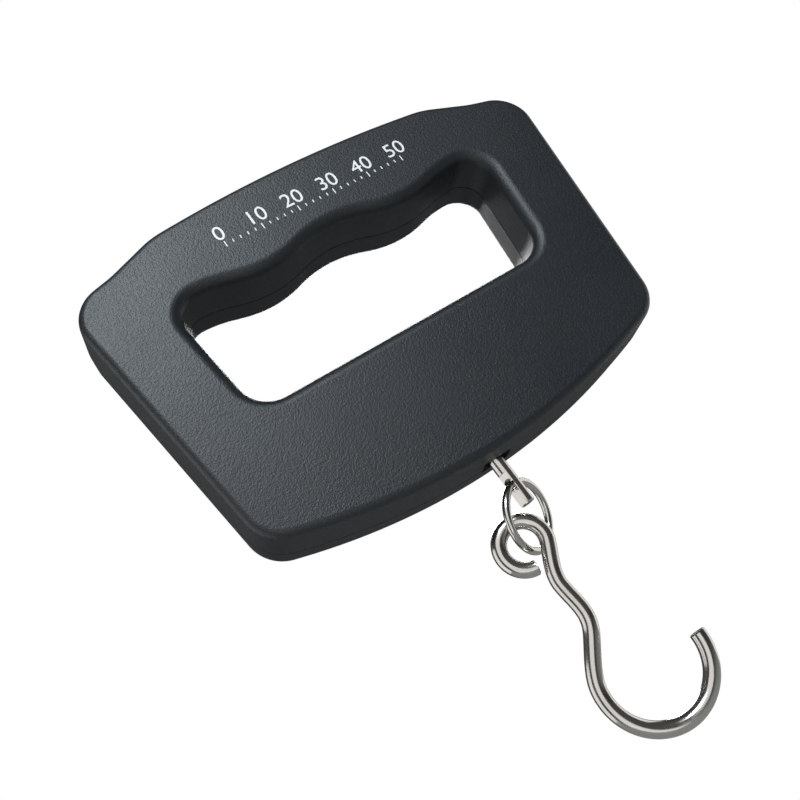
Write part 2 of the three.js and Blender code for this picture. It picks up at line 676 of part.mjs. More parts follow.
// A rod along Z from its end up: its lower stretch is milled flat on two sides and cross-drilled.
function hangerStem() {
  const rod = new THREE.LatheGeometry([
    new THREE.Vector2(0, stemEnd),
    new THREE.Vector2(hangerRadius - hangerChamfer.end, stemEnd),
    new THREE.Vector2(hangerRadius, stemEnd + hangerChamfer.end),
    new THREE.Vector2(hangerRadius, stemTop - hangerChamfer.top),
    new THREE.Vector2(hangerRadius - hangerChamfer.top, stemTop),
    new THREE.Vector2(0, stemTop),
  ], sidesOf(hangerRadius));
  rod.rotateX(Math.PI / 2);
  const half = hangerFlat.thickness / 2;
  const past = hangerRadius + cutOver;
  const flatTop = stemEnd + hangerFlat.length;
  const flats = [block(half, past, -past, past, stemEnd - cutOver, flatTop),
    block(-past, -half, -past, past, stemEnd - cutOver, flatTop)];
  const boreSides = sidesOf(crossHole.radius);
  const bore = new THREE.CylinderGeometry(crossHole.radius, crossHole.radius, 2 * past, boreSides);
  bore.rotateZ(Math.PI / 2);
  bore.translate(0, 0, crossHoleZ);
  return cut(solid(rod), ...flats, solid(bore)).rotate([0, 0, THREE.MathUtils.radToDeg(hangerTurn)])
    .translate([0, hangerY, 0]);
}

function hangerNut() {
  const acrossCorners = nut.acrossFlats / Math.cos(Math.PI / 6);
  const top = nutBottom + nut.height;
  return cut(rodZ(acrossCorners / 2, nutBottom, top, 6),
    rodZ(hangerRadius + clearance, nutBottom - cutOver, top + cutOver)).translate([0, hangerY, 0]);
}

function thrustWasher() {
  const top = washerBottom + washer.thickness;
  return cut(rodZ(washer.radius, washerBottom, top),
    rodZ(hangerRadius + clearance, washerBottom - cutOver, top + cutOver)).translate([0, hangerY, 0]);
}

// A round wire along a path in a plane: across and up are the plane's directions, and the path's points are
// given along them.
function planarWire(path, radius, across, up, origin, closed) {
  const sides = fewestSides;
  const normal = new THREE.Vector3().crossVectors(across, up);
  const count = path.length;
  const positions = [];
  for (let i = 0; i < count; i += 1) {
    const before = path[closed ? (i + count - 1) % count : Math.max(i - 1, 0)];
    const after = path[closed ? (i + 1) % count : Math.min(i + 1, count - 1)];
    const along = after.clone().sub(before).normalize();
    const side = across.clone().multiplyScalar(-along.y).addScaledVector(up, along.x);
    const centre = origin.clone().addScaledVector(across, path[i].x).addScaledVector(up, path[i].y);
    for (let k = 0; k < sides; k += 1) {
      const angle = 2 * Math.PI * k / sides;
      const point = centre.clone().addScaledVector(side, radius * Math.cos(angle));
      point.addScaledVector(normal, radius * Math.sin(angle));
      positions.push(point.x, point.y, point.z);
    }
  }
  const faces = [];
  for (let i = 0; i < (closed ? count : count - 1); i += 1) {
    for (let k = 0; k < sides; k += 1) {
      const [a, b] = [i * sides + k, i * sides + (k + 1) % sides];
      const [c, d] = [((i + 1) % count) * sides + k, ((i + 1) % count) * sides + (k + 1) % sides];
      faces.push(a, b, c, b, d, c);
    }
  }
  for (let k = 1; !closed && k + 1 < sides; k += 1) {
    const last = (count - 1) * sides;
    faces.push(0, k + 1, k, last, last + k, last + k + 1);
  }
  const geometry = new THREE.BufferGeometry();
  geometry.setAttribute('position', new THREE.Float32BufferAttribute(positions, 3));
  geometry.setIndex(faces);
  return solid(geometry);
}

function arcPath(x, z, radius, from, to) {
  const steps = arcSteps(radius, Math.abs(to - from), roundSag);
  return Array.from({ length: steps + 1 }, (_, k) => {
    const angle = from + (to - from) * k / steps;
    return new THREE.Vector2(x + radius * Math.cos(angle), z + radius * Math.sin(angle));
  });
}

function ringSolid() {
  const across = new THREE.Vector3(Math.cos(ringTurn), Math.sin(ringTurn), 0);
  const outward = new THREE.Vector3(-Math.sin(ringTurn), Math.cos(ringTurn), 0);
  const up = new THREE.Vector3(0, 0, Math.cos(ringTilt)).addScaledVector(outward, -Math.sin(ringTilt));
  const centre = new THREE.Vector3(0, hangerY, crossHoleZ)
    .addScaledVector(across, -ring.radius * Math.sin(ringLean))
    .addScaledVector(up, -ring.radius * Math.cos(ringLean));
  const circle = arcPath(0, 0, ring.radius, 0, 2 * Math.PI).slice(0, -1);
  return planarWire(circle, ring.wire, across, up, centre, true);
}

// The hook's centreline, with the middle of its eye at (0, 0): round the eye, down the cranked shank and
// round the bend.
function hookPath() {
  const eye = arcPath(0, 0, hook.eyeRadius, hookEye.start, hookEye.end);
  const bend = arcPath(hook.bendX, -hook.bendDrop, hook.bendRadius, hookBend.start, hookBend.end);
  const waist = new THREE.Vector2(hookShank.waistX, -hookShank.waistDrop);
  const elbow = new THREE.Vector2(hookShank.elbowX, -hookShank.elbowDrop);
  const leaving = new THREE.Vector2(Math.sin(hookEye.end), -Math.cos(hookEye.end));
  const plumb = new THREE.Vector2(0.05, -1);
  const slant = new THREE.Vector2(-0.55, -0.83);
  const entering = new THREE.Vector2(-Math.sin(hookBend.start), Math.cos(hookBend.start));
  const pointsPerStretch = 6;
  const curve = (from, out, reach, to, into) => new THREE.CubicBezierCurve(
    from, from.clone().addScaledVector(out, reach), to.clone().addScaledVector(into, -reach), to);
  const shank = [
    curve(eye.at(-1), leaving, hookReach.eye, waist, plumb),
    curve(waist, plumb, hookReach.waist, elbow, slant),
    curve(elbow, slant, hookReach.elbow, bend[0], entering),
  ].flatMap((part) => part.getPoints(pointsPerStretch).slice(1));
  return [...eye, ...shank, ...bend.slice(1)];
}

function hookSolid() {
  const across = new THREE.Vector3(Math.cos(hook.turn), Math.sin(hook.turn), 0);
  const up = new THREE.Vector3(0, 0, 1);
  const eyeCentre = new THREE.Vector3(0, hangerY, crossHoleZ).add(hookFromCrossHole);
  return planarWire(hookPath(), hook.wire, across, up, eyeCentre, false);
}

// ---------------------------------------------------------------- the object

function addScrews(name, places, size, seatY, pointing) {
  places.forEach((place, i) => add(`${name}_${i + 1}`, 'zinc', screw(place, size, seatY, pointing)));
}

add('front_cover', 'casing', frontCover());
add('rear_cover', 'casing', rearCover());
addScrews('case_screw', caseScrewPlaces, caseScrew, caseScrewSeat, 1);

add('load_cell', 'aluminium', loadCell());
addScrews('load_cell_screw', cellScrewPlaces, cellScrew, cellScrewSeat, 1);
for (const [sideName, side] of [['left', -1], ['right', 1]]) {
  for (const [levelName, level] of [['lower', -1], ['upper', 1]]) {
    add(`strain_gauge_${sideName}_${levelName}`, 'foil', strainGauge(side, level));
  }
}
add('cell_ribbon', 'resin', cellRibbon());

add('circuit_board', 'board', circuitBoard());
addScrews('board_screw', boardScrewPlaces, boardScrew, boardScrewSeat, -1);
add('controller_dome', 'resin', controllerDome());
add('light_guide', 'clear', lightGuideSolid());
add('display_strip', 'rubber', displayStrip());
add('display_glass', 'glass', displayGlass());
add('display_lens', 'lens', displayLens());
['power', 'tare', 'unit'].forEach((use, i) => {
  add(`switch_${use}`, 'resin', tactSwitchSolid(buttonPlaces[i]));
  add(`button_${use}`, 'button', buttonSolid(buttonPlaces[i]));
});

add('battery_contact_negative', 'zinc', negativeContact());
add('battery_contact_positive', 'zinc', positiveContact());
add('coin_cell', 'steel', coinCell());
add('battery_door', 'casing', batteryDoor());

add('thrust_washer', 'zinc', thrustWasher());
add('hanger_nut', 'zinc', hangerNut());
add('hanger_stem', 'steel', hangerStem());
add('ring', 'steel', ringSolid());
add('hook', 'steel', hookSolid());

export default object;
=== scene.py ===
import math

import bpy
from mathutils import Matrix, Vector


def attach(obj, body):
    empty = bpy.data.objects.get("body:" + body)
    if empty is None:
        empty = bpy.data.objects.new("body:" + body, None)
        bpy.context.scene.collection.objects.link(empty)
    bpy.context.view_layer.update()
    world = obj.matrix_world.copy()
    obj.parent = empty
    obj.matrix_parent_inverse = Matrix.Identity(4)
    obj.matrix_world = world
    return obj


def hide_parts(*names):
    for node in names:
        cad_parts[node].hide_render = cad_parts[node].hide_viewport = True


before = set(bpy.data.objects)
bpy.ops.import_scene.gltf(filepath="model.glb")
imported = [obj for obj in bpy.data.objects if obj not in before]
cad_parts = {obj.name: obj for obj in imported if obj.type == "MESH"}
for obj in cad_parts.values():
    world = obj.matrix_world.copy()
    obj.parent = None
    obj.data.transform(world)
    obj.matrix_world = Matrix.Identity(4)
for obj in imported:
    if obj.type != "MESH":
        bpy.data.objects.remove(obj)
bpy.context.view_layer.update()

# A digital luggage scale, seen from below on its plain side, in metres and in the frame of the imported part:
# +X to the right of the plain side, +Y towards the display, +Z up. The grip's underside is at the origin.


# ------------------------------------------------------------------ covers
# Two moulded halves in black plastic with a spark-eroded face, held together by screws. The deeper, plain one
# has the bosses. The other has the screw wells and the seats of the display, the buttons and the battery.

MM = 0.001
scene = bpy.context.scene

# Depths along y, and the thickness and draft of the moulding, in millimetres.
FACE = -11.5
BACK = 11.5
PARTING = 1.5
WALL = 2.2
DRAFT = 0.5
OUTER_FILLET = 2.2
RIM_FILLET = 3.1
MOULD_EDGE = 0.15
GAP = 0.3
# How far a solid reaches into or past the one it is joined to or cut from.
OVERLAP = 1.0

# The outline: an arched top, a slope and a shoulder at each end of it, tapered sides and a bowed bottom.
CROWN = 23.1
LOWEST = -75.0
ARCH_RADIUS = 358.0
ARCH_HALF_SPAN = 36.9
ARCH_END_X = 42.8
ARCH_END_RADIUS = 25.0
SLOPE_FALL = 0.385
SLOPE_FOOT_X = 56.4
SLOPE_FOOT_RADIUS = 30.0
SHOULDER_FALL = 0.26
SHOULDER_X = 71.2
CORNER_RADIUS = 11.0
SIDE_TAPER = math.radians(7.9)
BOTTOM_RADIUS = 182.0
BOTTOM_HALF_SPAN = 52.0

# The hand hole: three finger recesses above, tapered ends and a straight bottom.
HOLE_BOTTOM = -35.2
HOLE_TOP = -0.6
HOLE_HALF_WIDTH = 48.1
HOLE_TAPER = math.radians(7.4)
HOLE_TOP_RUN = 11.0
HOLE_TOP_FALL = 0.03
HOLE_TOP_RADIUS = 6.5
HOLE_BOTTOM_RADIUS = 8.0
WAVE_RADIUS = 31.5
WAVE_HALF_SPAN = 10.25
WAVE_END_X = 20.5


def link(obj):
    scene.collection.objects.link(obj)
    return obj


def socket(tree, name, kind, default=None, low=None, high=None):
    """Adds a named input to a node group."""
    made = tree.interface.new_socket(name=name, in_out="INPUT", socket_type=kind)
    if default is not None:
        made.default_value = default
    if low is not None:
        made.min_value = low
        made.max_value = high
    return made


def shader_group(name, inputs, outputs):
    """An empty shader group with float inputs {name: default} and outputs {name: socket type}."""
    tree = bpy.data.node_groups.new(name, "ShaderNodeTree")
    socket(tree, "Vector", "NodeSocketVector")
    for key, value in inputs.items():
        socket(tree, key, "NodeSocketFloat", value)
    for key, kind in outputs.items():
        tree.interface.new_socket(name=key, in_out="OUTPUT", socket_type=kind)
    entry = tree.nodes.new("NodeGroupInput")
    leave = tree.nodes.new("NodeGroupOutput")
    return tree, entry, leave


def math_node(tree, operation, first, second):
    """A math node; each operand is an output socket or a number."""
    node = tree.nodes.new("ShaderNodeMath")
    node.operation = operation
    for slot, operand in zip(node.inputs, (first, second)):
        if isinstance(operand, (int, float)):
            slot.default_value = operand
        else:
            tree.links.new(operand, slot)
    return node.outputs[0]


def noise(tree, vector, scale, detail=2.0, stretch=None):
    """A noise texture over a vector in metres. The scale is in features per metre, or an output socket."""
    if stretch:
        mapping = tree.nodes.new("ShaderNodeMapping")
        mapping.inputs["Scale"].default_value = stretch
        tree.links.new(vector, mapping.inputs["Vector"])
        vector = mapping.outputs[0]
    node = tree.nodes.new("ShaderNodeTexNoise")
    node.inputs["Detail"].default_value = detail
    tree.links.new(vector, node.inputs["Vector"])
    if isinstance(scale, (int, float)):
        node.inputs["Scale"].default_value = scale
    else:
        tree.links.new(scale, node.inputs["Scale"])
    return node.outputs["Fac"]


def bump(tree, height, distance, strength):
    node = tree.nodes.new("ShaderNodeBump")
    node.inputs["Distance"].default_value = distance
    if isinstance(strength, (int, float)):
        node.inputs["Strength"].default_value = strength
    else:
        tree.links.new(strength, node.inputs["Strength"])
    tree.links.new(height, node.inputs["Height"])
    return node.outputs["Normal"]


def spark_texture():
    """Fine grain of a spark-eroded mould: pits about 0.3 mm apart, over a slow unevenness of gloss."""
    tree, entry, leave = shader_group(
        "spark_texture",
        {"Grain": 3200.0, "Depth": 0.5},
        {"Normal": "NodeSocketVector", "Grain": "NodeSocketFloat", "Cloud": "NodeSocketFloat"},
    )
    vector = entry.outputs["Vector"]
    fine = noise(tree, vector, entry.outputs["Grain"], 2.0)
    coarse = noise(tree, vector, math_node(tree, "MULTIPLY", entry.outputs["Grain"], 0.45), 1.0)
    height = math_node(tree, "ADD", fine, math_node(tree, "MULTIPLY", coarse, 0.7))
    tree.links.new(bump(tree, height, 0.12 * MM, entry.outputs["Depth"]), leave.inputs["Normal"])
    tree.links.new(fine, leave.inputs["Grain"])
    tree.links.new(noise(tree, vector, 28.0, 3.0), leave.inputs["Cloud"])
    return tree


SPARK = spark_texture()


def material(name, dark, light, rough, metallic, effect, size, depth, shade_by=1, rough_by=2, **fixed):
    """A Principled material. The effect's masks carry its colour from dark to light, and its roughness."""
    made = bpy.data.materials.new(name)
    made.use_nodes = True
    tree = made.node_tree
    shader = tree.nodes["Principled BSDF"]
    where = tree.nodes.new("ShaderNodeTexCoord")
    group = tree.nodes.new("ShaderNodeGroup")
    group.node_tree = effect
    group.inputs[1].default_value = size
    group.inputs["Depth"].default_value = depth
    tree.links.new(where.outputs["Object"], group.inputs["Vector"])
    tone = tree.nodes.new("ShaderNodeMix")
    tone.data_type = "RGBA"
    tone.inputs[6].default_value = (*dark, 1)
    tone.inputs[7].default_value = (*light, 1)
    tree.links.new(group.outputs[shade_by], tone.inputs[0])
    tree.links.new(tone.outputs[2], shader.inputs["Base Color"])
    spread = tree.nodes.new("ShaderNodeMapRange")
    spread.inputs["From Min"].default_value = 0.3
    spread.inputs["From Max"].default_value = 0.7
    spread.inputs["To Min"].default_value = rough[0]
    spread.inputs["To Max"].default_value = rough[1]
    tree.links.new(group.outputs[rough_by], spread.inputs["Value"])
    tree.links.new(spread.outputs[0], shader.inputs["Roughness"])
    tree.links.new(group.outputs["Normal"], shader.inputs["Normal"])
    shader.inputs["Metallic"].default_value = metallic
    for key, value in fixed.items():
        shader.inputs[key.replace("_", " ")].default_value = value
    return made


def smooth(mesh, angle):
    mesh.shade_smooth()
    mesh.set_sharp_from_angle(angle=math.radians(angle))


def mesh_object(name, points, faces, made):
    mesh = bpy.data.meshes.new(name)
    mesh.from_pydata([Vector(p) * MM for p in points], [], faces)
    mesh.materials.append(made)
    return link(bpy.data.objects.new(name, mesh))


def apex_rise(radius, half_span):
    """How far the sharp corner stands above an arc that is level at its middle."""
    return radius * (1 / math.cos(math.asin(half_span / radius)) - 1)


def mirrored(right_side, bottom=None, top=None):
    left_side = [(-x, z, radius) for x, z, radius in reversed(right_side)]
    return [bottom] * bool(bottom) + right_side + [top] * bool(top) + left_side


def casing_corners():
    """Sharp corners (x, z, radius), anticlockwise as seen from the plain side."""
    apex = CROWN + apex_rise(ARCH_RADIUS, ARCH_HALF_SPAN)
    nadir = LOWEST - apex_rise(BOTTOM_RADIUS, BOTTOM_HALF_SPAN)
    arch_slope = math.tan(math.asin(ARCH_HALF_SPAN / ARCH_RADIUS))
    bottom_slope = math.tan(math.asin(BOTTOM_HALF_SPAN / BOTTOM_RADIUS))
    taper = math.tan(SIDE_TAPER)
    break_z = apex - arch_slope * ARCH_END_X
    foot_z = break_z - SLOPE_FALL * (SLOPE_FOOT_X - ARCH_END_X)
    shoulder_z = foot_z - SHOULDER_FALL * (SHOULDER_X - SLOPE_FOOT_X)
    corner_x = (SHOULDER_X - taper * (shoulder_z - nadir)) / (1 - taper * bottom_slope)
    right = [
        (corner_x, nadir + bottom_slope * corner_x, CORNER_RADIUS),
        (SHOULDER_X, shoulder_z, CORNER_RADIUS),
        (SLOPE_FOOT_X, foot_z, SLOPE_FOOT_RADIUS),
        (ARCH_END_X, break_z, ARCH_END_RADIUS),
    ]
    return mirrored(right, (0.0, nadir, BOTTOM_RADIUS), (0.0, apex, ARCH_RADIUS))


def hole_corners():
    slope = math.tan(math.asin(WAVE_HALF_SPAN / WAVE_RADIUS))
    apex = apex_rise(WAVE_RADIUS, WAVE_HALF_SPAN)
    end_x = HOLE_HALF_WIDTH - HOLE_TOP_RUN
    top_z = HOLE_TOP - HOLE_TOP_FALL * HOLE_TOP_RUN
    bottom_x = HOLE_HALF_WIDTH - math.tan(HOLE_TAPER) * (top_z - HOLE_BOTTOM)
    right = [
        (bottom_x, HOLE_BOTTOM, HOLE_BOTTOM_RADIUS),
        (HOLE_HALF_WIDTH, top_z, HOLE_TOP_RADIUS),
        (end_x, HOLE_TOP, WAVE_RADIUS),
        (WAVE_END_X, apex - slope * WAVE_END_X, WAVE_RADIUS),
    ]
    return mirrored(right, top=(0.0, apex, WAVE_RADIUS))


def rounded(corners, grown=0.0, sag=0.008):
    """Points of an outline with rounded corners, grown outwards. Growing it keeps their count."""
    points = []
    for i, (x, z, radius) in enumerate(corners):
        here = Vector((x, z))
        before = (Vector(corners[i - 1][:2]) - here).normalized()
        after = (Vector(corners[(i + 1) % len(corners)][:2]) - here).normalized()
        side = 1 if before.cross(after) < 0 else -1
        half = before.angle(after) / 2
        bisector = (before + after).normalized()
        centre = here + bisector * (radius / math.sin(half))
        middle = math.atan2(-bisector.y, -bisector.x)
        spread = math.pi / 2 - half
        count = max(3, math.ceil(spread / math.acos(1 - sag / radius)))
        for k in range(count + 1):
            angle = middle + side * spread * (2 * k / count - 1)
            reach = radius + side * grown
            points.append((centre.x + reach * math.cos(angle), centre.y + reach * math.sin(angle)))
    return points


def loft(name, levels, made=None):
    """A closed solid through outlines with the same number of points: levels are (y, points), rising in y."""
    levels = sorted(levels, key=lambda level: level[0])
    count = len(levels[0][1])
    points = [(x, y, z) for y, outline in levels for x, z in outline]
    faces = [tuple(range(count)), tuple(reversed(range(len(points) - count, len(points))))]
    for level in range(0, len(points) - count, count):
        for i in range(count):
            j = (i + 1) % count
            faces.append((level + i, level + count + i, level + count + j, level + j))
    return mesh_object(name, points, faces, made or PLASTIC)


def disc(x, z, radius, segments=72):
    turns = [2 * math.pi * k / segments for k in range(segments)]
    return [(x + radius * math.cos(a), z + radius * math.sin(a)) for a in turns]


def rod(name, x, z, radius, y0, y1, segments=72):
    return loft(name, [(y0, disc(x, z, radius, segments)), (y1, disc(x, z, radius, segments))])


def plate(name, x, z, width, height, corner, y0, y1, made=None):
    w, h = width / 2, height / 2
    lower = [(x - w, z - h, corner), (x + w, z - h, corner)]
    upper = [(x + w, z + h, corner), (x - w, z + h, corner)]
    corners = lower + upper
    return loft(name, [(y0, rounded(corners)), (y1, rounded(corners))], made)


def bake(obj):
    """Turns an object's modifiers into its mesh."""
    graph = bpy.context.evaluated_depsgraph_get()
    baked = bpy.data.meshes.new_from_object(obj.evaluated_get(graph))
    obj.modifiers.clear()
    obj.data = baked


def combine(base, others, operation):
    """Applies one boolean with each of the other solids in turn, and deletes them."""
    for other in others:
        step = base.modifiers.new("step", "BOOLEAN")
        step.operation = operation
        step.solver = "MANIFOLD"
        step.object = other
        bake(base)
        bpy.data.objects.remove(other)
    return base


def block(name, x0, x1, y0, y1, z0, z1, made=None):
    outline = [(x0, z0), (x1, z0), (x1, z1), (x0, z1)]
    return loft(name, [(y0, outline), (y1, outline)], made)


PLASTIC = material(
    "black_casing", (0.001, 0.002, 0.003), (0.014, 0.018, 0.022), (0.42, 0.50), 0.0, SPARK, 2900.0, 0.8,
)
CASING = casing_corners()
HOLE = hole_corners()


def fillet(radius, steps=7):
    """Depth below the face, and what is missing at the side, down a rounded edge."""
    turns = [math.pi / 2 * k / steps for k in range(steps + 1)]
    return [(radius * (1 - math.cos(a)), radius * (1 - math.sin(a))) for a in turns]


def cover(name, face, rim):
    inward = 1 if rim > face else -1
    height = abs(rim - face)

    def shrink(depth):
        return DRAFT * (1 - depth / height)

    def y(depth):
        return face + inward * depth

    outer = [(y(d), rounded(CASING, -i - shrink(d))) for d, i in fillet(OUTER_FILLET)]
    outer.append((rim, rounded(CASING)))
    hole = [(y(d), rounded(HOLE, i + shrink(d))) for d, i in fillet(RIM_FILLET)]
    hole.insert(0, (y(-OVERLAP), rounded(HOLE, RIM_FILLET + DRAFT)))
    hole.append((y(height + OVERLAP), rounded(HOLE)))
    flares = ((0, RIM_FILLET), (WALL, RIM_FILLET), (WALL + RIM_FILLET / 2, 0), (height + 2 * OVERLAP, 0))
    hole_wall = [(y(d), rounded(HOLE, WALL + DRAFT + f)) for d, f in flares]
    room = [(y(d), rounded(CASING, -WALL - DRAFT)) for d in (WALL, height + OVERLAP)]
    inside = combine(loft("inside", room), [loft("hole_wall", hole_wall)], "DIFFERENCE")
    return combine(loft(name, outer), [inside, loft("hole", hole)], "DIFFERENCE")


def finish_cover(obj):
    """Softens the moulded edges, keeps flat faces flat, and attaches the cover to the casing."""
    edge = obj.modifiers.new("moulded_edges", "BEVEL")
    edge.width = MOULD_EDGE * MM
    edge.segments = 2
    edge.limit_method = "ANGLE"
    edge.angle_limit = math.radians(50)
    smooth(obj.data, 32)
    level = obj.modifiers.new("flat_faces_stay_flat", "WEIGHTED_NORMAL")
    level.keep_sharp = True
    bake(obj)
    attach(obj, "casing")


SEAM = PARTING - GAP / 2
TONGUE = 0.9
TONGUE_TOP = PARTING + 1.2


def tongue(outline, inward):
    """The rim that closes the parting gap from inside, rooted in the plain cover's wall."""
    def near(offset):
        return rounded(outline, inward * (WALL + DRAFT + offset))

    rooted = [(SEAM - 2, near(-GAP)), (SEAM, near(-GAP))]
    standing = [(SEAM + 0.01, near(GAP)), (TONGUE_TOP, near(GAP))]
    wall_side = rooted + standing
    if inward < 0:
        room = [(SEAM - 3, near(GAP + TONGUE)), (TONGUE_TOP + 1, near(GAP + TONGUE))]
        return combine(loft("tongue", wall_side), [loft("room", room)], "DIFFERENCE")
    body = [(SEAM - 2, near(GAP + TONGUE)), (TONGUE_TOP, near(GAP + TONGUE))]
    wall_side[0] = (SEAM - 3, near(-GAP))
    wall_side[-1] = (TONGUE_TOP + 1, near(GAP))
    return combine(loft("tongue", body), [loft("room", wall_side)], "DIFFERENCE")


# Six case screws go from wells in the display side into bosses of the plain side. Two more bosses carry the
# load cell, and the stem comes out of a slot that is cut half in each cover.
SCREW_PLACES = [(s * x, z) for s in (-1, 1) for x, z in ((33.0, 8.95), (56.6, -17.6), (54.6, -58.6))]
SCREW_BORE = 1.7
WELL_RADIUS = 3.1
WELL_DEPTH = 5.4
BOSS_RADIUS = 3.0
BOSS_TOP = BACK - WELL_DEPTH - WALL - GAP
PILOT_FLOOR = -7.1
CELL_PLACES = [(side * 26, -51.8) for side in (-1, 1)]
CELL_BOSS_RADIUS = 4.0
CELL_BOSS_TOP = -3.9
CELL_PILOT_FLOOR = -7.0
SLOT_HALF_WIDTH = 4.1
SLOT_HALF_DEPTH = 2.9
SLOT_HEIGHT = 4.2


def stem_slot():
    low, high = LOWEST - OVERLAP, LOWEST + SLOT_HEIGHT
    return block("stem_slot", -SLOT_HALF_WIDTH, SLOT_HALF_WIDTH, -SLOT_HALF_DEPTH, SLOT_HALF_DEPTH, low, high)


front = cover("front_cover_shell", FACE, SEAM)
combine(front, [tongue(CASING, -1), tongue(HOLE, 1)], "UNION")
root = FACE + OVERLAP
bosses = [rod("boss", x, z, BOSS_RADIUS, root, BOSS_TOP, 40) for x, z in SCREW_PLACES]
bosses += [rod("boss", x, z, CELL_BOSS_RADIUS, root, CELL_BOSS_TOP, 40) for x, z in CELL_PLACES]
combine(front, bosses, "UNION")
pilots = [rod("pilot", x, z, SCREW_BORE, PILOT_FLOOR, BACK, 32) for x, z in SCREW_PLACES]
pilots += [rod("pilot", x, z, SCREW_BORE, CELL_PILOT_FLOOR, 0, 32) for x, z in CELL_PLACES]
pilots.append(stem_slot())
combine(front, pilots, "DIFFERENCE")
finish_cover(front)
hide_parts("front_cover")

# The display side: a lens in its seat over a window, three buttons in a column and the battery pocket.
DISPLAY_X = 3.0
DISPLAY_Z = -52.4
BUTTON_X = 42.5
BUTTON_STEP = 7.6
BUTTON_PLACES = [(BUTTON_X, DISPLAY_Z + row * BUTTON_STEP) for row in (1, 0, -1)]
# Width, height and corner radius.
LENS_SEAT = (50.6, 24.0, 2.7)
LENS_WINDOW = (45.6, 19.0, 1.2)
BUTTON_HOLE = (11.6, 5.4, 2.69)
LENS_SEAT_FLOOR = 9.9
POST_END = 5.6
POST_REACH_X = 26.4
POST_REACH_Z = 9.2
POST_RADIUS = 2.1
POST_BORE = 1.2
POST_FLOOR = 8.9
WELL_WALL = 1.1
BATTERY_X = -39.0
POCKET_RADIUS = 12.9
POCKET_WALL = 1.0
POCKET_CEILING = BACK - WALL - 0.05
DOOR_RADIUS = 11.4
DOOR_OPENING = 11.7
DOOR_TURN = math.radians(55)
LUG_HALF_TURN = math.radians(13)
LUG_INNER = 10.9
LUG_OUTER = 12.75


def lug_outline(angle, inner, outer, half, steps=10):
    turns = [angle + half * (2 * k / steps - 1) for k in range(steps + 1)]
    arc = [(outer, a) for a in turns] + [(inner, a) for a in reversed(turns)]
    return [(BATTERY_X + r * math.cos(a), DISPLAY_Z + r * math.sin(a)) for r, a in arc]


rear = cover("rear_cover_shell", BACK, PARTING + GAP / 2)
posts = [(DISPLAY_X + sx * POST_REACH_X, DISPLAY_Z + sz * POST_REACH_Z) for sx in (-1, 1) for sz in (-1, 1)]
root = BACK - OVERLAP
well_end = BACK - WELL_DEPTH - WALL
added = [rod("boss", x, z, WELL_RADIUS + WELL_WALL, well_end, root, 40) for x, z in SCREW_PLACES]
added += [rod("post", x, z, POST_RADIUS, POST_END, root, 32) for x, z in posts]
added.append(rod("pocket", BATTERY_X, DISPLAY_Z, POCKET_RADIUS + POCKET_WALL, POST_END, root, 96))
combine(rear, added, "UNION")
out = BACK + OVERLAP
taken = [rod("well", x, z, WELL_RADIUS, BACK - WELL_DEPTH, out, 48) for x, z in SCREW_PLACES]
taken += [rod("shank", x, z, SCREW_BORE, 0, BACK, 32) for x, z in SCREW_PLACES]
taken += [rod("post_hole", x, z, POST_BORE, 0, POST_FLOOR, 24) for x, z in posts]
taken.append(rod("pocket_room", BATTERY_X, DISPLAY_Z, POCKET_RADIUS, 0, POCKET_CEILING, 96))
taken.append(rod("door_way", BATTERY_X, DISPLAY_Z, DOOR_OPENING, 0, out, 120))
for turn in (0, math.pi):
    gate = lug_outline(turn - DOOR_TURN, LUG_INNER, LUG_OUTER, LUG_HALF_TURN + GAP / DOOR_RADIUS)
    taken.append(loft("lug_gate", [(0, gate), (out, gate)]))
taken.append(plate("lens_seat", DISPLAY_X, DISPLAY_Z, *LENS_SEAT, LENS_SEAT_FLOOR, out))
taken.append(plate("lens_window", DISPLAY_X, DISPLAY_Z, *LENS_WINDOW, 0, BACK))
taken += [plate("button_hole", x, z, *BUTTON_HOLE, 0, out) for x, z in BUTTON_PLACES]
taken.append(stem_slot())
combine(rear, taken, "DIFFERENCE")
finish_cover(rear)
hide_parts("rear_cover")


# ------------------------------------------------------------------ print on the grip
# A scale of numbers and ticks, pad-printed in white ink on the plain cover's grip, 0.02 mm thick. It reads
# along +X.

INK = material("white_ink", (0.62, 0.63, 0.63), (0.80, 0.81, 0.80), (0.5, 0.7), 0.0, SPARK, 2600.0, 0.3)
INK_THICKNESS = 0.02
PRINT_Z = 9.6
PRINT_STEP = 11.0
PRINT_SIZE = 6.2
NUMBERS = 6


def printed_numbers():
    made = []
    for k in range(NUMBERS):
        curve = bpy.data.curves.new("digits", "FONT")
        curve.body = str(10 * k)
        curve.size = PRINT_SIZE * MM
        curve.align_x = "CENTER"
        curve.extrude = INK_THICKNESS / 2 * MM
        text = link(bpy.data.objects.new("digits", curve))
        graph = bpy.context.evaluated_depsgraph_get()
        mesh = bpy.data.meshes.new_from_object(text.evaluated_get(graph))
        for vertex in mesh.vertices:
            x, y, z = vertex.co
            across = x + (k - (NUMBERS - 1) / 2) * PRINT_STEP * MM
            vertex.co = (across, FACE * MM - INK_THICKNESS / 2 * MM - z, y + PRINT_Z * MM)
        bpy.data.objects.remove(text)
        made.append(mesh)
    return made


def join_meshes(name, meshes, made):
    points, faces = [], []
    for mesh in meshes:
        start = len(points)
        points += [v.co / MM for v in mesh.vertices]
        faces += [tuple(start + i for i in face.vertices) for face in mesh.polygons]
    return mesh_object(name, points, faces, made)


digits = join_meshes("grip_numbers", printed_numbers(), INK)
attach(digits, "casing")


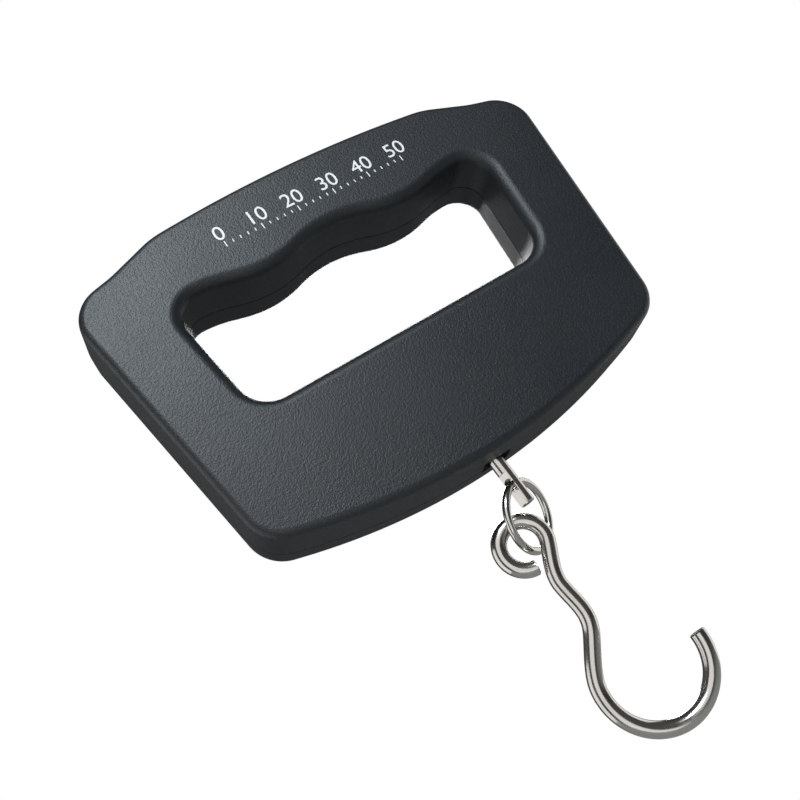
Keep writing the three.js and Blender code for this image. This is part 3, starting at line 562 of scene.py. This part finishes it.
def tick_tree():
    """Repeats a tick on a straight line. Every fifth tick is long."""
    tree = bpy.data.node_groups.new("ticks_on_a_line", "GeometryNodeTree")
    tree.interface.new_socket(name="Geometry", in_out="INPUT", socket_type="NodeSocketGeometry")
    socket(tree, "Count", "NodeSocketInt", 51)
    socket(tree, "Step", "NodeSocketFloat", 1 * MM)
    socket(tree, "Width", "NodeSocketFloat", 0.25 * MM)
    socket(tree, "Height", "NodeSocketFloat", 1 * MM)
    socket(tree, "Ink", "NodeSocketMaterial")
    tree.interface.new_socket(name="Geometry", in_out="OUTPUT", socket_type="NodeSocketGeometry")
    entry = tree.nodes.new("NodeGroupInput")
    leave = tree.nodes.new("NodeGroupOutput")
    line = tree.nodes.new("GeometryNodeMeshLine")
    offset = tree.nodes.new("ShaderNodeCombineXYZ")
    size = tree.nodes.new("ShaderNodeCombineXYZ")
    bar = tree.nodes.new("GeometryNodeMeshCube")
    copies = tree.nodes.new("GeometryNodeInstanceOnPoints")
    index = tree.nodes.new("GeometryNodeInputIndex")
    real = tree.nodes.new("GeometryNodeRealizeInstances")
    paint = tree.nodes.new("GeometryNodeSetMaterial")
    long_tick = math_node(tree, "COMPARE", math_node(tree, "MODULO", index.outputs[0], 5.0), 0.0)
    stretch = tree.nodes.new("ShaderNodeCombineXYZ")
    stretch.inputs["X"].default_value = 1.0
    stretch.inputs["Y"].default_value = 1.0
    tree.links.new(math_node(tree, "ADD", long_tick, 1.0), stretch.inputs["Z"])
    tree.links.new(entry.outputs["Count"], line.inputs["Count"])
    tree.links.new(entry.outputs["Step"], offset.inputs["X"])
    tree.links.new(offset.outputs[0], line.inputs["Offset"])
    tree.links.new(entry.outputs["Width"], size.inputs["X"])
    size.inputs["Y"].default_value = INK_THICKNESS * MM
    tree.links.new(entry.outputs["Height"], size.inputs["Z"])
    tree.links.new(size.outputs[0], bar.inputs["Size"])
    tree.links.new(line.outputs["Mesh"], copies.inputs["Points"])
    tree.links.new(bar.outputs["Mesh"], copies.inputs["Instance"])
    tree.links.new(stretch.outputs[0], copies.inputs["Scale"])
    tree.links.new(copies.outputs["Instances"], real.inputs["Geometry"])
    tree.links.new(real.outputs["Geometry"], paint.inputs["Geometry"])
    tree.links.new(entry.outputs["Ink"], paint.inputs["Material"])
    tree.links.new(paint.outputs["Geometry"], leave.inputs["Geometry"])
    return tree


def grown(name, tree, values):
    """The mesh that a geometry tree makes with the given inputs, as an object at the origin."""
    source = link(bpy.data.objects.new("source", bpy.data.meshes.new("source")))
    modifier = source.modifiers.new("grow", "NODES")
    modifier.node_group = tree
    for item in tree.interface.items_tree:
        if item.in_out == "INPUT" and item.name in values:
            modifier[item.identifier] = values[item.name]
    graph = bpy.context.evaluated_depsgraph_get()
    mesh = bpy.data.meshes.new_from_object(source.evaluated_get(graph))
    bpy.data.objects.remove(source)
    return link(bpy.data.objects.new(name, mesh))


TICK_START_X = -27.5
TICK_DROP = 1.6
TICK_PROUD = 0.005
TICKS = {"Count": 26, "Step": 2.2 * MM, "Width": 0.3 * MM, "Height": 0.9 * MM, "Ink": INK}
ticks = grown("grip_ticks", tick_tree(), TICKS)
for vertex in ticks.data.vertices:
    vertex.co += Vector((TICK_START_X, FACE - TICK_PROUD, PRINT_Z - TICK_DROP)) * MM
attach(ticks, "casing")


# ------------------------------------------------------------------ fasteners
# Bright zinc-plated screws with a cross recess, cold-headed from steel. Six are in the casing's wells, four
# hold the board and two hold the load cell.


def drawn_metal():
    """Faint lines along a drawing or milling direction, and a slow, broad smear."""
    tree, entry, leave = shader_group(
        "drawn_metal",
        {"Lines": 900.0, "Depth": 0.15},
        {"Normal": "NodeSocketVector", "Lines": "NodeSocketFloat", "Smear": "NodeSocketFloat"},
    )
    vector = entry.outputs["Vector"]
    lines = noise(tree, vector, entry.outputs["Lines"], 2.0, (1.0, 1.0, 0.06))
    tree.links.new(bump(tree, lines, 0.01 * MM, entry.outputs["Depth"]), leave.inputs["Normal"])
    tree.links.new(lines, leave.inputs["Lines"])
    tree.links.new(noise(tree, vector, 140.0, 3.0), leave.inputs["Smear"])
    return tree


DRAWN = drawn_metal()


def dress(node, made, bevel=0.0):
    """Puts a material on a CAD node, with softened edges if a bevel width is given."""
    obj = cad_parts[node]
    obj.data.materials.clear()
    obj.data.materials.append(made)
    if bevel:
        soft = obj.modifiers.new("soft_edges", "BEVEL")
        soft.width = bevel
        soft.segments = 2
        soft.limit_method = "ANGLE"
        soft.angle_limit = math.radians(40)
    return obj


ZINC = material(
    "zinc_plate", (0.46, 0.47, 0.47), (0.66, 0.66, 0.64), (0.24, 0.42), 1.0, DRAWN, 1500.0, 0.2,
    shade_by=2, rough_by=1,
)
for name in sorted(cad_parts):
    if "screw" in name:
        dress(name, ZINC, 0.08 * MM)


# ------------------------------------------------------------------ load cell
# A beam milled from aluminium bar and screwed to two bosses of the plain cover. It carries the washer, nut
# and stem, and foil gauges are cemented over its thin places.

ALUMINIUM = material(
    "milled_aluminium", (0.55, 0.56, 0.58), (0.74, 0.75, 0.77), (0.28, 0.45), 1.0, DRAWN, 1100.0, 0.35,
    shade_by=2, rough_by=1,
)
FOIL = material("gauge_foil", (0.42, 0.17, 0.04), (0.60, 0.28, 0.08), (0.3, 0.5), 0.0, SPARK, 2000.0, 0.2)
RIBBON = material(
    "ribbon_jacket", (0.03, 0.03, 0.035), (0.07, 0.07, 0.08), (0.4, 0.55), 0.0, DRAWN, 2200.0, 0.5,
)
dress("load_cell", ALUMINIUM, 0.2 * MM)
for side in ("left", "right"):
    for level in ("lower", "upper"):
        dress(f"strain_gauge_{side}_{level}", FOIL)
dress("cell_ribbon", RIBBON, 0.05 * MM)


# ------------------------------------------------------------------ board
# Glass-fibre laminate under green solder mask, screwed to four posts of the display side. It carries the
# chip under a black resin dome and three tact switches.

BOARD = material(
    "solder_mask", (0.008, 0.07, 0.025), (0.015, 0.13, 0.05), (0.25, 0.4), 0.0, SPARK, 900.0, 0.25,
)
RESIN = material(
    "black_resin", (0.012, 0.012, 0.014), (0.03, 0.03, 0.034), (0.25, 0.5), 0.0, SPARK, 700.0, 0.3,
)
dress("circuit_board", BOARD, 0.08 * MM)
dress("controller_dome", RESIN)
for use in ("power", "tare", "unit"):
    dress(f"switch_{use}", RESIN, 0.08 * MM)


# ------------------------------------------------------------------ display
# A clear edge-lit guide, a rubber contact strip and a grey-green liquid crystal cell, behind a clear lens
# with a black printed border. The lens is cemented in its seat.

ACRYLIC = material(
    "clear_acrylic", (0.75, 0.80, 0.82), (0.86, 0.90, 0.91), (0.15, 0.3), 0.0, SPARK, 500.0, 0.1,
)
STRIP = material(
    "contact_rubber", (0.55, 0.26, 0.32), (0.68, 0.36, 0.42), (0.6, 0.8), 0.0, DRAWN, 3000.0, 0.4,
)
CRYSTAL = material(
    "liquid_crystal_cell", (0.33, 0.37, 0.28), (0.39, 0.43, 0.33), (0.16, 0.24), 0.0, SPARK, 260.0, 0.05,
)
SEGMENT = material(
    "dark_segments", (0.02, 0.025, 0.02), (0.035, 0.04, 0.035), (0.3, 0.4), 0.0, SPARK, 900.0, 0.1,
)
BORDER = material(
    "lens_border_ink", (0.006, 0.007, 0.008), (0.012, 0.013, 0.014), (0.2, 0.3), 0.0, SPARK, 900.0, 0.1,
)
LENS = material(
    "clear_lens", (0.80, 0.84, 0.84), (0.88, 0.91, 0.91), (0.02, 0.05), 0.0, SPARK, 60.0, 0.01,
    Transmission_Weight=1.0, IOR=1.49,
)
dress("light_guide", ACRYLIC, 0.1 * MM)
dress("display_strip", STRIP, 0.1 * MM)
dress("display_glass", CRYSTAL, 0.1 * MM)
dress("display_lens", LENS, 0.15 * MM)

DIGIT_WIDTH = 4.8
DIGIT_HEIGHT = 10.4
STROKE = 1.0
PLACES = 4
PLACE_STEP = 8.0
POINT_HALF_WIDTH = 0.6
POINT_LOW = 5.7
POINT_HIGH = 4.6
DIGITS_Y = 8.65
DIGITS_THICKNESS = 0.05
# Width, height and corner radius of the lens border and of its opening.
BORDER_SIZE = (49.6, 23.0, 2.2)
OPENING_SIZE = (41.0, 16.0, 1.2)
BORDER_Y = (10.05, 10.12)
# Which of a digit's seven bars are on: top, upper left, upper right, middle, lower left, lower right, bottom.
LIT = {"0": (1, 1, 1, 0, 1, 1, 1)}


def segment_bars(x, z, digit):
    """Corners of the lit bars of one digit as (low, high) pairs. The digit reads from the display side."""
    w, h, s = DIGIT_WIDTH / 2, DIGIT_HEIGHT / 2, STROKE / 2
    gap = 0.25
    across = [((x - w + s + gap, z + level - s), (x + w - s - gap, z + level + s)) for level in (h, 0, -h)]
    upright = []
    for low in (0, -h):
        for side in (w, -w):
            upright.append(((x + side - s, z + low + gap), (x + side + s, z + low + h - gap)))
    bars = [across[0], upright[0], upright[1], across[1], upright[2], upright[3], across[2]]
    return [bar for bar, on in zip(bars, LIT[digit]) if on]


def bar_mesh(bars, y, thickness):
    points, faces = [], []
    for (x0, z0), (x1, z1) in bars:
        start = len(points)
        outline = ((x0, z0), (x1, z0), (x1, z1), (x0, z1))
        points += [(x, level, z) for level in (y, y + thickness) for x, z in outline]
        for face in ((0, 1, 2, 3), (7, 6, 5, 4), (0, 4, 5, 1), (1, 5, 6, 2), (2, 6, 7, 3), (3, 7, 4, 0)):
            faces.append(tuple(start + i for i in face))
    return points, faces


bars = []
for place in range(PLACES):
    bars += segment_bars(DISPLAY_X + ((PLACES - 1) / 2 - place) * PLACE_STEP, DISPLAY_Z, "0")
point_low = (DISPLAY_X - POINT_HALF_WIDTH, DISPLAY_Z - POINT_LOW)
point_high = (DISPLAY_X + POINT_HALF_WIDTH, DISPLAY_Z - POINT_HIGH)
bars.append((point_low, point_high))
segments = mesh_object("display_digits", *bar_mesh(bars, DIGITS_Y, DIGITS_THICKNESS), SEGMENT)
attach(segments, "casing")

border = plate("lens_border", DISPLAY_X, DISPLAY_Z, *BORDER_SIZE, *BORDER_Y, BORDER)
opening = plate("opening", DISPLAY_X, DISPLAY_Z, *OPENING_SIZE, BORDER_Y[0] - OVERLAP, BORDER_Y[1] + OVERLAP)
combine(border, [opening], "DIFFERENCE")
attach(border, "casing")


# ------------------------------------------------------------------ buttons
# Three grey moulded pills held by a flange under the cover, each over its tact switch. Each has a symbol in
# white ink: power, tare and unit.

BUTTON = material(
    "grey_button", (0.24, 0.25, 0.26), (0.31, 0.32, 0.33), (0.42, 0.55), 0.0, SPARK, 3600.0, 0.35,
)
CAP_TOP = BACK + 0.5


def ring_outline(x, z, inner, outer, start, end, steps=28):
    turns = [start + (end - start) * k / steps for k in range(steps + 1)]
    arc = [(outer, a) for a in turns] + [(inner, a) for a in reversed(turns)]
    return [(x + r * math.cos(a), z + r * math.sin(a)) for r, a in arc]


INK_HALF = 0.16
POWER_INNER = 0.95
POWER_OUTER = 1.25
POWER_BAR = (0.3, 1.5)
TARE_REACH = 2.0
TARE_HALF_HEIGHT = 1.1
TARE_DOT = 0.5
UNIT_HALF_WIDTH = 1.8
UNIT_RISE = 0.6


def symbol(use, x, z):
    """A button's ink: an open ring and bar for power, a dot between uprights for tare, two bars for unit."""
    y0, y1 = CAP_TOP, CAP_TOP + INK_THICKNESS
    if use == "power":
        arc = ring_outline(x, z, POWER_INNER, POWER_OUTER, math.radians(125), math.radians(415))
        bar = block("ink", x - INK_HALF, x + INK_HALF, y0, y1, z + POWER_BAR[0], z + POWER_BAR[1], INK)
        return [loft("ink", [(y0, arc), (y1, arc)], INK), bar]
    inks = []
    for side in (-1, 1):
        if use == "tare":
            at = x + side * TARE_REACH
            low, high = z - TARE_HALF_HEIGHT, z + TARE_HALF_HEIGHT
            inks.append(block("ink", at - INK_HALF, at + INK_HALF, y0, y1, low, high, INK))
        else:
            at = z + side * UNIT_RISE
            low, high = x - UNIT_HALF_WIDTH, x + UNIT_HALF_WIDTH
            inks.append(block("ink", low, high, y0, y1, at - INK_HALF, at + INK_HALF, INK))
    if use == "tare":
        inks.append(rod("ink", x, z, TARE_DOT, y0, y1, 32))
    return inks


for use, (x, z) in zip(("power", "tare", "unit"), BUTTON_PLACES):
    dress(f"button_{use}", BUTTON, 0.12 * MM)
    inks = symbol(use, x, z)
    mark = join_meshes(f"symbol_{use}", [ink.data for ink in inks], INK)
    for ink in inks:
        bpy.data.objects.remove(ink)
    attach(mark, f"button_{use}")


# ------------------------------------------------------------------ battery and door
# A coin cell in a steel can between two sprung contacts. The round door is moulded in the casing's plastic,
# with two lugs that turn under the cover and a slot for a coin.

CELL_STEEL = material(
    "cell_can", (0.50, 0.50, 0.49), (0.66, 0.66, 0.64), (0.2, 0.34), 1.0, DRAWN, 700.0, 0.2, 2, 1,
)
dress("coin_cell", CELL_STEEL, 0.15 * MM)
dress("battery_contact_negative", ZINC, 0.06 * MM)
dress("battery_contact_positive", ZINC, 0.06 * MM)
dress("battery_door", PLASTIC, 0.15 * MM)


# ------------------------------------------------------------------ hanger
# A polished steel stem, milled flat and cross-drilled at its lower end. It hangs on the load cell by a
# washer and a nut, so that it can swivel.

STEEL = material(
    "polished_steel", (0.43, 0.415, 0.39), (0.55, 0.53, 0.50), (0.13, 0.20), 1.0, DRAWN, 500.0, 0.02, 2, 1,
)
dress("thrust_washer", ZINC, 0.1 * MM)
dress("hanger_nut", ZINC, 0.15 * MM)

STEM_RADIUS = 2.0
STEM_END = -88.1
STEM_TOP = -40.0
FLAT_HALF = 1.3
FLAT_TOP = -78.7
CROSS_HOLE_Z = -81.9
CROSS_HOLE_RADIUS = 1.65
END_CHAMFER = 0.35
TOP_CHAMFER = 0.5
BROKEN_EDGE = 0.12
HANGER_TURN = math.radians(27)


def turned(points, angle):
    c, s = math.cos(angle), math.sin(angle)
    return [(c * x - s * y, s * x + c * y, z) for x, y, z in points]


def stem():
    profile = [
        (STEM_RADIUS - END_CHAMFER, STEM_END),
        (STEM_RADIUS, STEM_END + END_CHAMFER),
        (STEM_RADIUS, STEM_TOP - TOP_CHAMFER),
        (STEM_RADIUS - TOP_CHAMFER, STEM_TOP),
    ]
    count = 64
    points = []
    for radius, z in profile:
        points += [(x, y, z) for x, y in disc(0, 0, radius, count)]
    faces = [tuple(reversed(range(count))), tuple(range(len(points) - count, len(points)))]
    for level in range(0, len(points) - count, count):
        for i in range(count):
            j = (i + 1) % count
            faces.append((level + i, level + j, level + count + j, level + count + i))
    body = mesh_object("hanger_rod", points, faces, STEEL)
    clear = 2 * STEM_RADIUS
    flats = []
    for side in (-1, 1):
        near, far = sorted((side * FLAT_HALF, side * clear))
        flats.append(block("flat", near, far, -clear, clear, STEM_END - OVERLAP, FLAT_TOP))
    bore = rod("bore", 0, CROSS_HOLE_Z, CROSS_HOLE_RADIUS, -clear, clear, 48)
    for vertex in bore.data.vertices:
        x, y, z = vertex.co
        vertex.co = (y, -x, z)
    combine(body, flats + [bore], "DIFFERENCE")
    edge = body.modifiers.new("broken_edges", "BEVEL")
    edge.width = BROKEN_EDGE * MM
    edge.segments = 3
    edge.limit_method = "ANGLE"
    edge.angle_limit = math.radians(35)
    bake(body)
    for vertex in body.data.vertices:
        vertex.co = turned([vertex.co], HANGER_TURN)[0]
    body.data.materials.clear()
    body.data.materials.append(STEEL)
    smooth(body.data, 30)
    return body


rod_piece = stem()
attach(rod_piece, "hanger")
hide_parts("hanger_stem")


# ------------------------------------------------------------------ ring and hook
# Bent from polished round wire: a closed ring of 2 mm wire that goes through the stem, and a hook of 4 mm
# wire whose eye is bent round the ring.

RING_RADIUS = 8.9
RING_WIRE_RADIUS = 1.0
RING_TURN = math.radians(36)
RING_TILT = math.radians(20.3)
RING_LEAN = math.radians(-8.5)
HOOK_TURN = math.radians(-10)
EYE_CENTRE = Vector((-7.2, 1.1, -95.6))
EYE_RADIUS = 5.95
HOOK_WIRE_RADIUS = 2.0
BEND_RADIUS = 13.5
BEND_CENTRE = Vector((7.0, -39.2))


def sweep(name, path, radius, sides, closed):
    """Round wire along a planar path of vectors in millimetres. Open ends are square with broken edges."""
    normal = (path[len(path) // 3] - path[0]).cross(path[2 * len(path) // 3] - path[0]).normalized()
    count = len(path)
    rings = []
    for i, point in enumerate(path):
        before = path[i - 1] if closed or i else path[0]
        after = path[(i + 1) % count] if closed or i + 1 < count else path[-1]
        along = (after - before).normalized()
        rings.append((point, along, radius))
    if not closed:
        edge = 0.3
        for end in (0, -1):
            point, along, _ = rings[end]
            step = along * (edge if end == 0 else -edge)
            rings[end] = (point, along, radius - edge)
            rings.insert(1 if end == 0 else -1, (point + step, along, radius))
    points = []
    for point, along, reach in rings:
        side = normal.cross(along)
        for k in range(sides):
            angle = 2 * math.pi * k / sides
            points.append(point + (side * math.cos(angle) + normal * math.sin(angle)) * reach)
    total = len(rings)
    faces = []
    for i in range(total if closed else total - 1):
        for k in range(sides):
            a, b = i * sides + k, i * sides + (k + 1) % sides
            c, d = ((i + 1) % total) * sides + k, ((i + 1) % total) * sides + (k + 1) % sides
            faces.append((a, b, d, c))
    if not closed:
        faces.append(tuple(reversed(range(sides))))
        faces.append(tuple(range((total - 1) * sides, total * sides)))
    obj = mesh_object(name, points, faces, STEEL)
    smooth(obj.data, 40)
    return obj


def arc(centre, radius, start, end, steps):
    turns = [start + (end - start) * k / steps for k in range(steps + 1)]
    return [Vector((centre[0] + radius * math.cos(a), centre[1] + radius * math.sin(a))) for a in turns]


def bezier(start, out, reach, end, into, steps=24):
    """Points after the start of a curve that leaves along out and arrives along into."""
    first, last = start + out * reach[0], end - into * reach[1]
    points = []
    for k in range(1, steps + 1):
        t = k / steps
        u = 1 - t
        points.append(u ** 3 * start + 3 * u * u * t * first + 3 * u * t * t * last + t ** 3 * end)
    return points


def hook_path():
    eye_end, bend_start = math.radians(-385), math.radians(168)
    eye = arc((0, 0), EYE_RADIUS, math.radians(-94), eye_end, 110)
    bend = arc(BEND_CENTRE, BEND_RADIUS, bend_start, math.radians(361), 110)
    waist, elbow = Vector((1.5, -12.6)), Vector((0.5, -25.3))
    leaving = Vector((math.sin(eye_end), -math.cos(eye_end)))
    plumb, slant = Vector((0.05, -1)), Vector((-0.55, -0.83))
    entering = Vector((-math.sin(bend_start), math.cos(bend_start)))
    path = eye + bezier(eye[-1], leaving, (3.4, 3.4), waist, plumb)
    path += bezier(waist, plumb, (5, 5), elbow, slant)
    path += bezier(elbow, slant, (3.8, 3.8), bend[0], entering)
    path += bend[1:]
    across = Vector((math.cos(HOOK_TURN), math.sin(HOOK_TURN), 0))
    return [EYE_CENTRE + across * p.x + Vector((0, 0, 1)) * p.y for p in path]


def ring_path():
    across = Vector((math.cos(RING_TURN), math.sin(RING_TURN), 0))
    outward = Vector((-math.sin(RING_TURN), math.cos(RING_TURN), 0))
    up = Vector((0, 0, 1)) * math.cos(RING_TILT) - outward * math.sin(RING_TILT)
    centre = Vector((0, 0, CROSS_HOLE_Z)) - across * (RING_RADIUS * math.sin(RING_LEAN))
    centre -= up * (RING_RADIUS * math.cos(RING_LEAN))
    return [centre + across * p.x + up * p.y for p in arc((0, 0), RING_RADIUS, 0, 2 * math.pi, 120)[:-1]]


ring = sweep("ring_wire", ring_path(), RING_WIRE_RADIUS, 28, True)
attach(ring, "ring")
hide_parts("ring")

hook = sweep("hook_wire", hook_path(), HOOK_WIRE_RADIUS, 40, False)
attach(hook, "hook")
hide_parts("hook")


# ------------------------------------------------------------------ studio
# A pale floor far below the hook and a surround that only the camera sees white. One soft panel is high in
# front, a tall one beside the camera draws the bright line in the steel, one at each side gives the steel
# grey edges, and one lights the display side.

FLOOR_Z = -420.0
FLOOR_REACH = 3000
AMBIENT = 0.10


def panel(name, place, target, width, height, power):
    light = bpy.data.lights.new(name, "AREA")
    light.shape = "RECTANGLE"
    light.size = width * MM
    light.size_y = height * MM
    light.energy = power
    obj = link(bpy.data.objects.new(name, light))
    obj.visible_camera = False
    obj.location = Vector(place) * MM
    obj.rotation_euler = (Vector(target) - Vector(place)).to_track_quat("-Z", "Y").to_euler()
    return obj


def white_for_camera(tree, other, output):
    """Shows plain white to the camera and the other shader to everything else."""
    path = tree.nodes.new("ShaderNodeLightPath")
    white = tree.nodes.new("ShaderNodeEmission")
    choice = tree.nodes.new("ShaderNodeMixShader")
    tree.links.new(path.outputs["Is Camera Ray"], choice.inputs[0])
    tree.links.new(other, choice.inputs[1])
    tree.links.new(white.outputs[0], choice.inputs[2])
    tree.links.new(choice.outputs[0], output)


FLOOR = bpy.data.materials.new("pale_floor")
FLOOR.use_nodes = True
floor_shader = FLOOR.node_tree.nodes["Principled BSDF"]
floor_shader.inputs["Base Color"].default_value = (0.34, 0.34, 0.33, 1)
floor_shader.inputs["Roughness"].default_value = 0.9
floor_output = FLOOR.node_tree.nodes["Material Output"]
white_for_camera(FLOOR.node_tree, floor_shader.outputs[0], floor_output.inputs["Surface"])
floor_corners = [(x * FLOOR_REACH, y * FLOOR_REACH, FLOOR_Z) for x, y in ((-1, -1), (1, -1), (1, 1), (-1, 1))]
floor = mesh_object("floor", floor_corners, [(0, 1, 2, 3)], FLOOR)

world = bpy.data.worlds.new("white_surround")
scene.world = world
world.use_nodes = True
sky = world.node_tree.nodes["Background"]
sky.inputs["Color"].default_value = (1, 1, 1, 1)
sky.inputs["Strength"].default_value = AMBIENT
white_for_camera(world.node_tree, sky.outputs[0], world.node_tree.nodes["World Output"].inputs["Surface"])

AIM = (0, 0, -40)
key = panel("upper_panel", (-60, -640, 470), AIM, 300, 300, 5.8)
key.data.color = (0.90, 1.0, 1.07)
panel("front_strip", (-190, -440, -110), (0, 0, -110), 420, 900, 1.4)
panel("left_panel", (-560, 120, -60), AIM, 560, 700, 1.6)
panel("right_panel", (600, 160, -60), AIM, 560, 700, 1.5)
panel("display_side_panel", (240, 640, 330), AIM, 420, 420, 6.0)

scene.view_settings.view_transform = "Standard"


# ------------------------------------------------------------------ camera
# Below and to the left of the plain side, at the height of the hook, rolled so that the grip climbs to
# the right.

camera_data = bpy.data.cameras.new("camera")
camera_data.sensor_width = 36
camera_data.lens = 39.5
camera_data.clip_start = 0.01
camera_data.clip_end = 20
camera = link(bpy.data.objects.new("camera", camera_data))
camera.location = Vector((-81.2, -202.1, -113.1)) * MM
camera.rotation_mode = "XYZ"
camera.rotation_euler = [math.radians(angle) for angle in (110.67, 34.75, -7.07)]
scene.camera = camera
